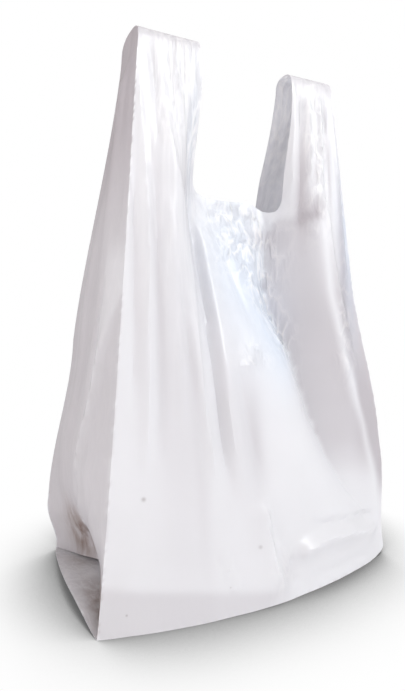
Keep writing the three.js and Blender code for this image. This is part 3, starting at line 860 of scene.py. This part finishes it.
def crease_patterns(tree, place):
    """Crinkles, and pleats that run up and down. Both are ridged, so their crests are sharp."""
    slant = (0, math.radians(CRINKLE_SLANT), 0)
    slanting = add_node(tree, MAPPING, _0=place, Rotation=slant, Scale=(1, 1, CRINKLE_STRETCH))
    crinkles = add_node(
        tree, NOISE, RIDGED, Vector=slanting, Scale=1 / (CRINKLE_SIZE * MM), Detail=3.0,
        Roughness=0.5, Offset=1.0, Gain=2.0, Distortion=0.4,
    )
    slant = (0, math.radians(PLEAT_SLANT), 0)
    upright = add_node(tree, MAPPING, _0=place, Rotation=slant, Scale=(1, 1, PLEAT_STRETCH))
    pleats = add_node(
        tree, NOISE, RIDGED, Vector=upright, Scale=1 / (PLEAT_SIZE * MM), Detail=3.0,
        Roughness=0.5, Offset=1.0, Gain=2.0,
    )
    return crinkles, pleats


def film_bump(tree, place, crinkled, gathered, crinkles, pleats):
    """The film's fine relief, in millimetres."""
    drawn = add_node(tree, MAPPING, _0=place, Scale=(1, 1, STREAK_STRETCH))
    streaks = add_node(
        tree, NOISE, Vector=drawn, Scale=1 / (STREAK_SIZE * MM), Detail=3.0, Roughness=0.5,
    )
    strength = add_node(tree, MATHS, {"operation": "POWER"}, _0=crinkled, _1=1.2)
    rise = add_node(tree, MATHS, TIMES, _0=crinkles, _1=CRINKLE_RISE)
    height = add_node(tree, MATHS, TIMES, _0=strength, _1=rise)
    rise = add_node(tree, MATHS, TIMES, _0=pleats, _1=PLEAT_RISE)
    height = add_node(tree, MATHS, TIMES_PLUS, _0=gathered, _1=rise, _2=height)
    height = add_node(tree, MATHS, TIMES_PLUS, _0=streaks, _1=STREAK_RISE, _2=height)
    return add_node(tree, "ShaderNodeBump", Strength=1.0, Distance=MM, Height=height)


def crease_highlight_and_shade(tree, tint, crinkled, gathered, crinkles, pleats):
    """Painted highlights along the crests, partly the film's own whitening where it is creased, and painted
    shade between them.
    """
    crest = add_node(
        tree, MAP_RANGE, Value=crinkles, From_Min=1.05, From_Max=1.9, To_Min=-0.15, To_Max=1.3,
    )
    pleat = add_node(
        tree, MAP_RANGE, Value=pleats, From_Min=0.95, From_Max=1.8, To_Min=-0.1, To_Max=1.2,
    )
    painted_light = add_node(tree, MATHS, TIMES, _0=crinkled, _1=crest)
    painted_light = add_node(tree, MATHS, TIMES_PLUS, _0=gathered, _1=pleat, _2=painted_light)
    painted_highlight = add_node(tree, MATHS, {"operation": "MAXIMUM"}, _0=painted_light, _1=0.0)
    tint = add_node(tree, MIX, Fac=painted_highlight, Color1=tint, Color2=linear(CREASE_WHITE_AND_HIGHLIGHT))
    painted_crease_shade = add_node(tree, MATHS, {"operation": "MINIMUM"}, _0=painted_light, _1=0.0)
    painted_crease_shade = add_node(tree, MATHS, TIMES, _0=painted_crease_shade, _1=-1.0)
    return add_node(tree, MIX, Fac=painted_crease_shade, Color1=tint, Color2=linear(CREASE_SHADE))


def warm_fold_shade_tint(tree, tint, place, warm_fold_shade):
    """Painted warm brown shade in the fold at the left side's foot, in streaks."""
    slant = (math.radians(SHADE_STREAK_SLANT), 0, 0)
    drawn = add_node(tree, MAPPING, _0=place, Rotation=slant, Scale=(1, 1, SHADE_STREAK_STRETCH))
    streaky = add_node(
        tree, NOISE, Vector=drawn, Scale=1 / (SHADE_STREAK_SIZE * MM), Detail=4.0, Roughness=0.6,
    )
    patchy = add_node(
        tree, MAP_RANGE, Value=streaky, From_Min=0.36, From_Max=0.62, To_Min=0.25, To_Max=1.0,
    )
    strength = add_node(tree, MATHS, TIMES, _0=warm_fold_shade, _1=patchy)
    return add_node(tree, MIX, Fac=strength, Color1=tint, Color2=linear(WARM_FOLD_SHADE_BROWN))


def speck_tint(tree, tint, place):
    """The specks of dirt, which are on the front only."""
    depth = add_node(tree, "ShaderNodeSeparateXYZ", _0=place).outputs["Y"]
    in_front = add_node(tree, MATHS, {"operation": "LESS_THAN"}, _0=depth, _1=0.0)
    flat = add_node(tree, "ShaderNodeVectorMath", TIMES, _0=place, _1=(1, 0, 1))
    for (x, z), radius, strength in SPECKS:
        centre = (x * MM, 0, z * MM)
        apart = add_node(tree, "ShaderNodeVectorMath", {"operation": "DISTANCE"}, _0=flat, _1=centre)
        spot = add_node(
            tree, MAP_RANGE, SMOOTH, Value=apart.outputs["Value"], From_Min=0, From_Max=radius * MM,
            To_Min=strength, To_Max=0,
        )
        spot = add_node(tree, MATHS, TIMES, _0=spot, _1=in_front)
        tint = add_node(tree, MIX, Fac=spot, Color1=tint, Color2=linear(SPECK_GREY))
    return tint


def blown_film():
    """High-density polythene film, blown thin: milky white, a soft gloss, and light shows through."""
    material, tree = new_material("blown_polythene_film")
    place = add_node(tree, "ShaderNodeTexCoord").outputs["Object"]
    crinkled, gathered, cool_sheen, painted_shade, warm_fold_shade = (
        add_node(tree, "ShaderNodeAttribute", {"attribute_name": name}).outputs["Fac"] for name in LOOKS
    )
    crinkles, pleats = crease_patterns(tree, place)
    bumps = film_bump(tree, place, crinkled, gathered, crinkles, pleats)

    cloudy = add_node(tree, NOISE, Vector=place, Scale=1 / (CLOUD_SIZE * MM), Detail=2.0)
    tint = add_node(tree, MIX, Fac=cloudy, Color1=linear(FILM_WHITE), Color2=linear(FILM_CLOUDED))
    # a painted bluish sheen
    tint = add_node(tree, MIX, Fac=cool_sheen, Color1=tint, Color2=linear(FILM_SHEEN_BLUE))
    # painted highlights along crests, partly the film's whitening at creases, and painted shade between them
    tint = crease_highlight_and_shade(tree, tint, crinkled, gathered, crinkles, pleats)
    # painted shade greys the film
    over = {"blend_type": "MULTIPLY"}
    tint = add_node(tree, MIX, over, Fac=painted_shade, Color1=tint, Color2=linear(PAINTED_SHADE_GREY))
    # painted warm shade in the fold at the left side's foot
    tint = warm_fold_shade_tint(tree, tint, place, warm_fold_shade)
    tint = speck_tint(tree, tint, place)

    gloss = add_node(
        tree, "ShaderNodeBsdfPrincipled", Base_Color=tint, Normal=bumps, Roughness=FILM_ROUGHNESS,
        IOR=FILM_IOR,
    )
    glow = add_node(tree, "ShaderNodeBsdfTranslucent", Color=tint)
    mixed = add_node(tree, "ShaderNodeMixShader", _0=SHINES_THROUGH, _1=gloss, _2=glow)
    add_node(tree, "ShaderNodeOutputMaterial", Surface=mixed)
    return material


# The floor's shadow: how far from the bag it reaches, in metres, and how dark it gets
SHADOW_REACH = 0.1
SHADOW_DARKEST = 0.12


def white_floor():
    """Matt white board. The camera sees it white, apart from the soft shadow close to the bag."""
    material, tree = new_material("matt_white_board")
    path = add_node(tree, "ShaderNodeLightPath")
    near = add_node(tree, "ShaderNodeAmbientOcclusion", {"samples": 24}, Distance=SHADOW_REACH)
    shadow = add_node(
        tree, MAP_RANGE, SMOOTH, Value=near.outputs["AO"], From_Min=0.35, From_Max=1.0,
        To_Min=SHADOW_DARKEST, To_Max=1.0,
    )
    board = add_node(tree, "ShaderNodeBsdfDiffuse", Color=linear("#F4F4F5"))
    seen = add_node(tree, "ShaderNodeEmission", Color=(1, 1, 1, 1), Strength=shadow)
    by_camera = path.outputs["Is Camera Ray"]
    mixed = add_node(tree, "ShaderNodeMixShader", _0=by_camera, _1=board, _2=seen)
    add_node(tree, "ShaderNodeOutputMaterial", Surface=mixed)
    return material


# The studio, in metres
FLOOR_SIZE = 12.0
ROOM_LIGHT = 0.74


def make_stage():
    """The floor, and a room that lights the bag evenly and looks white to the camera."""
    bpy.ops.object.select_all(action="DESELECT")
    bpy.ops.mesh.primitive_plane_add(size=FLOOR_SIZE, location=(0, 0, 0))
    floor = bpy.context.object
    floor.name = "floor"
    floor.data.materials.append(white_floor())
    world = bpy.data.worlds.new("studio")
    bpy.context.scene.world = world
    world.use_nodes = True
    tree = world.node_tree
    tree.nodes.clear()
    path = add_node(tree, "ShaderNodeLightPath")
    room = add_node(tree, "ShaderNodeBackground", Color=linear("#FFFAF8"), Strength=ROOM_LIGHT)
    backdrop = add_node(tree, "ShaderNodeBackground", Color=(1, 1, 1, 1), Strength=1.0)
    by_camera = path.outputs["Is Camera Ray"]
    mixed = add_node(tree, "ShaderNodeMixShader", _0=by_camera, _1=room, _2=backdrop)
    add_node(tree, "ShaderNodeOutputWorld", Surface=mixed)


def add_lamp(name, place, size, power, aim, colour):
    lamp = bpy.data.lights.new(name, "AREA")
    lamp.shape = "DISK"
    lamp.size = size
    lamp.energy = power
    lamp.color = linear(colour)[:3]
    holder = bpy.data.objects.new(name, lamp)
    bpy.context.collection.objects.link(holder)
    holder.location = place
    holder.rotation_euler = (Vector(aim) - Vector(place)).to_track_quat("-Z", "Y").to_euler()


# The camera stands where the photograph was taken from, worked out from the bag's outline in it
CAMERA_PLACE = (-224.9, -408.8, 238.0)
CAMERA_TURN = 26.9
CAMERA_DIP = 4.6
LENS = 25.9


def make_camera():
    camera = bpy.data.objects.new("camera", bpy.data.cameras.new("camera"))
    bpy.context.collection.objects.link(camera)
    camera.location = Vector(CAMERA_PLACE) * MM
    camera.rotation_euler = (math.radians(90 - CAMERA_DIP), 0, math.radians(-CAMERA_TURN))
    camera.data.sensor_width = 36.0
    camera.data.lens = LENS
    camera.data.clip_start = 0.01
    bpy.context.scene.camera = camera


bag = make_bag()
bag.data.materials.append(blown_film())
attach(bag, "root")
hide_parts("bag_film")

make_stage()
add_lamp("softbox", place=(0.6, -1.4, 1.35), size=1.0, power=29.5, aim=(0, 0, 0.2), colour="#FAFEFF")
add_lamp("fill", place=(-1.6, -0.5, 0.9), size=1.2, power=9.0, aim=(0, 0, 0.15), colour="#FFF6F2")
make_camera()
bpy.context.scene.view_settings.view_transform = "Standard"
